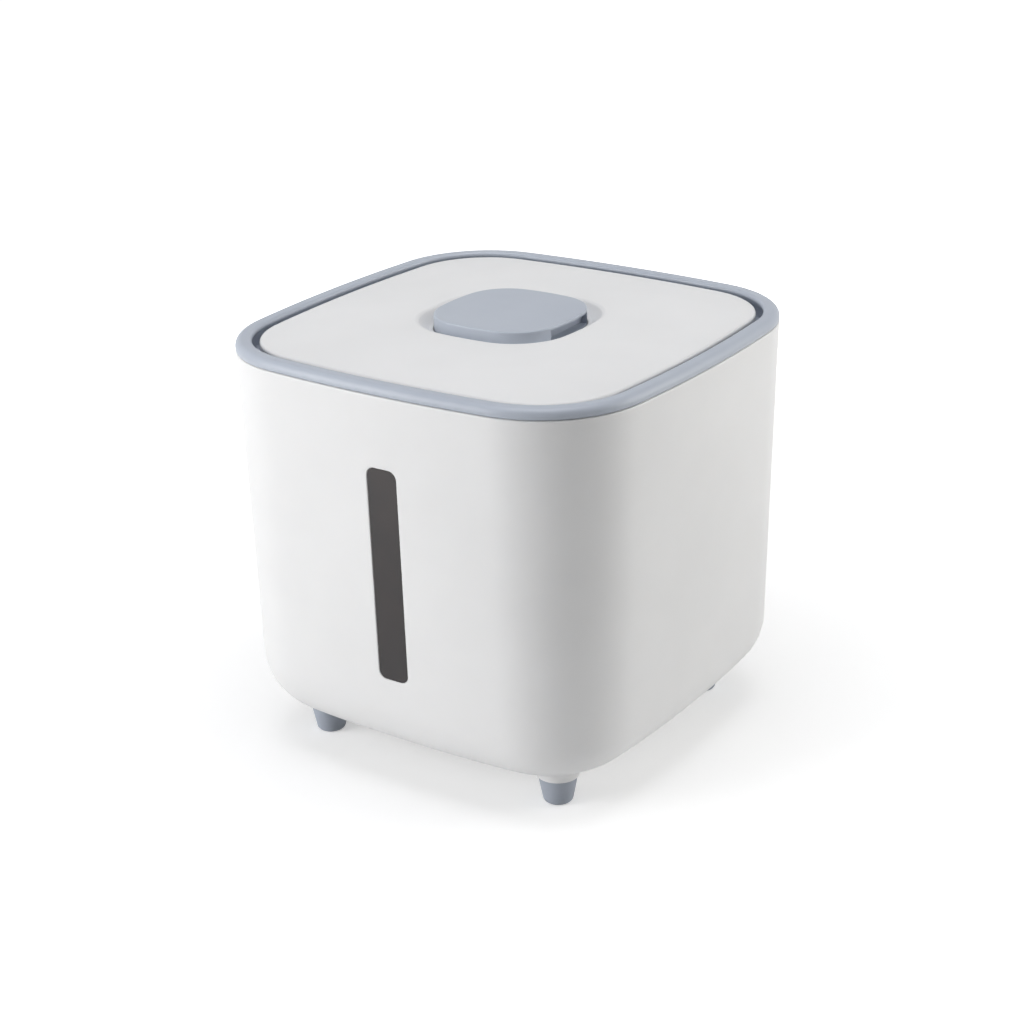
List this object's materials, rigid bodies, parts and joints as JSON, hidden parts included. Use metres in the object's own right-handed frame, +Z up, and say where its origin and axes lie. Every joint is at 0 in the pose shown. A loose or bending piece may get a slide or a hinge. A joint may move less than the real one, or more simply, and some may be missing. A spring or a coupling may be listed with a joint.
{
  "type": "rice container",
  "caption": "Square rounded food storage bin on short feet, with a window strip and a lift-off lid that a pop-up push button seals and frees.",
  "frame": {"origin": "on the floor, under the middle of the tub", "axes": "+Z up, -Y out of the front wall with the window, +X to the right seen from the front"},
  "size_m": [0.22, 0.22, 0.2117],
  "materials": {
    "white_polypropylene": "satin moulded",
    "blue_grey_polypropylene": "satin moulded",
    "smoked_polystyrene": "smoked translucent, polished",
    "grey_feet": "satin moulded",
    "natural_polypropylene": "as moulded",
    "silicone": "matt",
    "spring_steel": "bright zinc"
  },
  "bodies": {
    "bin": {"body_shell": "white_polypropylene", "rim_ring": "blue_grey_polypropylene", "window_pane": "smoked_polystyrene", "foot_front_left": "grey_feet", "foot_front_right": "grey_feet", "foot_back_left": "grey_feet", "foot_back_right": "grey_feet"},
    "lid": {"lid_cover": "white_polypropylene", "mechanism_frame": "natural_polypropylene", "frame_screws": "spring_steel", "lever_pins": "spring_steel", "lid_gasket": "silicone", "return_spring": "spring_steel", "latch_pin": "spring_steel"},
    "button": {"button_cap": "blue_grey_polypropylene", "button_plunger": "natural_polypropylene", "plunger_screws": "spring_steel"},
    "pressure_plate": {"pressure_plate": "natural_polypropylene"},
    "latch_arm": {"latch_arm": "natural_polypropylene"},
    "lever_right": {"lever_right": "natural_polypropylene"},
    "lever_back": {"lever_back": "natural_polypropylene"},
    "lever_left": {"lever_left": "natural_polypropylene"},
    "lever_front": {"lever_front": "natural_polypropylene"}
  },
  "joints": [
    {"name": "lid_lift", "type": "slide", "parent": "bin", "child": "lid", "axis": [0, 0, 1], "range_m": [0, 0.12]},
    {"name": "button_rise", "type": "slide", "parent": "lid", "child": "button", "axis": [0, 0, 1], "range_m": [0, 0.008], "deforming": ["return_spring"]},
    {"name": "plate_drop", "type": "slide", "parent": "lid", "child": "pressure_plate", "axis": [0, 0, -1], "range_m": [0, 0.00267], "deforming": ["lid_gasket"]},
    {"name": "latch_swing", "type": "hinge", "parent": "lid", "child": "latch_arm", "pos_m": [0.018, 0.0195, 0.1834], "axis": [0, 1, 0], "range_deg": [-11.5, 0]},
    {"name": "lever_right_rock", "type": "hinge", "parent": "lid", "child": "lever_right", "pos_m": [0.038, 0, 0.1889], "axis": [0, 1, 0], "range_deg": [0, 25.5]},
    {"name": "lever_back_rock", "type": "hinge", "parent": "lid", "child": "lever_back", "pos_m": [0, 0.038, 0.1889], "axis": [-1, 0, 0], "range_deg": [0, 25.5]},
    {"name": "lever_left_rock", "type": "hinge", "parent": "lid", "child": "lever_left", "pos_m": [-0.038, 0, 0.1889], "axis": [0, -1, 0], "range_deg": [0, 25.5]},
    {"name": "lever_front_rock", "type": "hinge", "parent": "lid", "child": "lever_front", "pos_m": [0, -0.038, 0.1889], "axis": [1, 0, 0], "range_deg": [0, 25.5]}
  ],
  "couplings": [
    {"joint": "plate_drop", "follows": "button_rise", "ratio": 0.33333},
    {"joint": "latch_swing", "follows": "button_rise", "rad_per_m": -25},
    {"joint": "lever_right_rock", "follows": "button_rise", "rad_per_m": 55.556},
    {"joint": "lever_back_rock", "follows": "button_rise", "rad_per_m": 55.556},
    {"joint": "lever_left_rock", "follows": "button_rise", "rad_per_m": 55.556},
    {"joint": "lever_front_rock", "follows": "button_rise", "rad_per_m": 55.556}
  ]
}
